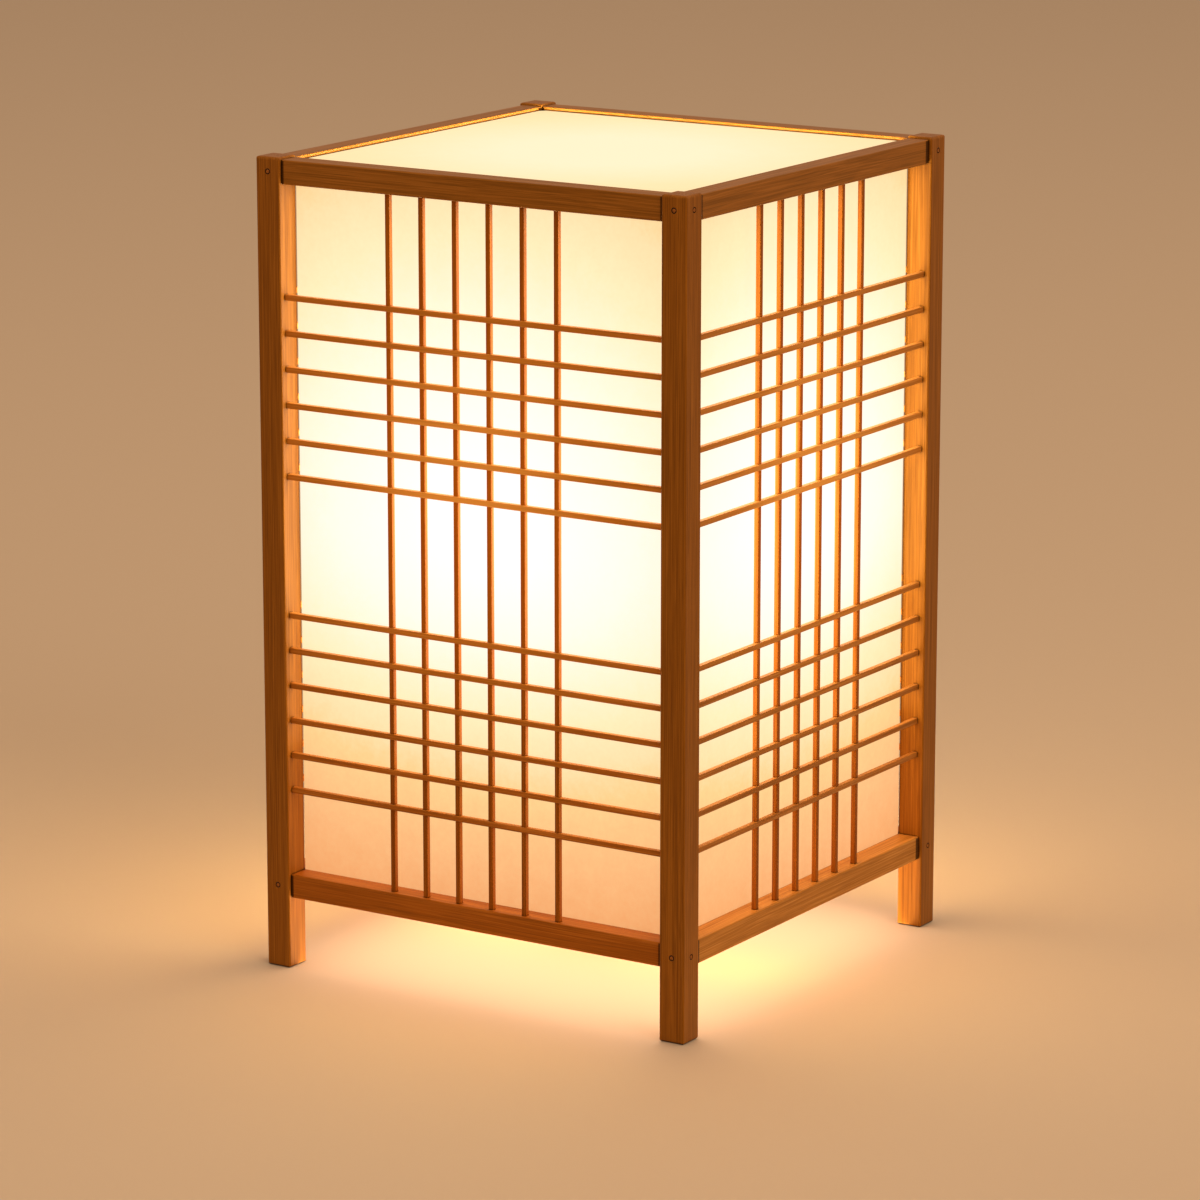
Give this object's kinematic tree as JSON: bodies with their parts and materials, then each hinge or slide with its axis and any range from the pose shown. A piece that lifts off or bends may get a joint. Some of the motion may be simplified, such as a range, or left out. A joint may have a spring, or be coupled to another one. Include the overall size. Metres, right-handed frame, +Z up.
{
  "type": "table lamp",
  "caption": "Square bamboo table lamp: pegged posts and rails, crossed slat lattice over translucent sheets, open bottom, lift-out top sheet and a screw-in bulb on a cross bar.",
  "frame": {"origin": "on the floor under the middle of the lamp, at the level of the four feet", "axes": "+Z up; the front face looks along -Y and the right face along +X"},
  "size_m": [0.15, 0.15, 0.25],
  "materials": {
    "bamboo_frame": "carbonised bamboo, sanded, clear satin lacquer",
    "bamboo_slat": "carbonised bamboo sticks, clear satin lacquer",
    "bamboo_peg": "bamboo peg ends, flush sanded",
    "bamboo_inner": "bamboo, sanded, no lacquer",
    "side_sheet": "translucent paper-laminated sheet, matt",
    "top_sheet": "translucent stiff sheet, matt",
    "plated_steel": "zinc plated",
    "brass": "pressed and plain",
    "nickel": "nickel plated",
    "black_plastic": "moulded, matt",
    "holder_plastic": "moulded, fine matt",
    "holder_ceramic": "glazed white insulator",
    "bulb_opal": "opal diffuser",
    "bulb_white": "moulded, white",
    "board_aluminium": "white-faced aluminium board",
    "led_phosphor": "phosphor-coated chips",
    "board_laminate": "glass-fibre laminate"
  },
  "bodies": {
    "lamp_frame": {"post_front_left": "bamboo_frame", "post_front_right": "bamboo_frame", "post_back_right": "bamboo_frame", "post_back_left": "bamboo_frame", "rail_top_front": "bamboo_frame", "rail_top_right": "bamboo_frame", "rail_top_back": "bamboo_frame", "rail_top_left": "bamboo_frame", "pegs_top": "bamboo_peg", "rail_bottom_front": "bamboo_frame", "rail_bottom_right": "bamboo_frame", "rail_bottom_back": "bamboo_frame", "rail_bottom_left": "bamboo_frame", "pegs_bottom": "bamboo_peg", "cross_slats_upper_front": "bamboo_slat", "cross_slats_lower_front": "bamboo_slat", "upright_slats_front": "bamboo_slat", "side_sheet_front": "side_sheet", "cross_slats_upper_right": "bamboo_slat", "cross_slats_lower_right": "bamboo_slat", "upright_slats_right": "bamboo_slat", "side_sheet_right": "side_sheet", "cross_slats_upper_back": "bamboo_slat", "cross_slats_lower_back": "bamboo_slat", "upright_slats_back": "bamboo_slat", "side_sheet_back": "side_sheet", "cross_slats_upper_left": "bamboo_slat", "cross_slats_lower_left": "bamboo_slat", "upright_slats_left": "bamboo_slat", "side_sheet_left": "side_sheet", "corner_blocks": "bamboo_inner", "cross_bar": "bamboo_inner", "cross_bar_screws": "plated_steel", "nipple": "plated_steel", "nipple_washer": "plated_steel", "lock_nut": "plated_steel", "cord_inlet_bush": "black_plastic", "holder_base": "holder_plastic", "holder_shell": "holder_plastic", "terminal_block": "holder_ceramic", "screw_shell": "brass", "centre_contact": "brass", "terminal_screws": "brass"},
    "bulb_globe": {"bulb_diffuser": "bulb_opal"},
    "bulb": {"bulb_housing": "bulb_white", "bulb_cap": "nickel", "bulb_insulator": "black_plastic", "bulb_tip_contact": "brass", "bulb_led_board": "board_aluminium", "bulb_leds": "led_phosphor", "bulb_driver_board": "board_laminate", "bulb_driver_parts": "black_plastic"},
    "top_cover": {"top_sheet": "top_sheet"}
  },
  "joints": [
    {"name": "bulb_rise", "type": "slide", "parent": "lamp_frame", "child": "bulb_globe", "axis": [0, 0, 1], "range_m": [0, 0.01451]},
    {"name": "bulb_turn", "type": "hinge", "parent": "bulb_globe", "child": "bulb", "pos_m": [0, 0, 0.1], "axis": [0, 0, 1], "range_deg": [0, 1440]},
    {"name": "top_sheet_lift", "type": "slide", "parent": "lamp_frame", "child": "top_cover", "axis": [0, 0, 1], "range_m": [0, 0.06]}
  ],
  "couplings": [
    {"joint": "bulb_turn", "follows": "bulb_rise", "rad_per_m": 1731.6}
  ]
}
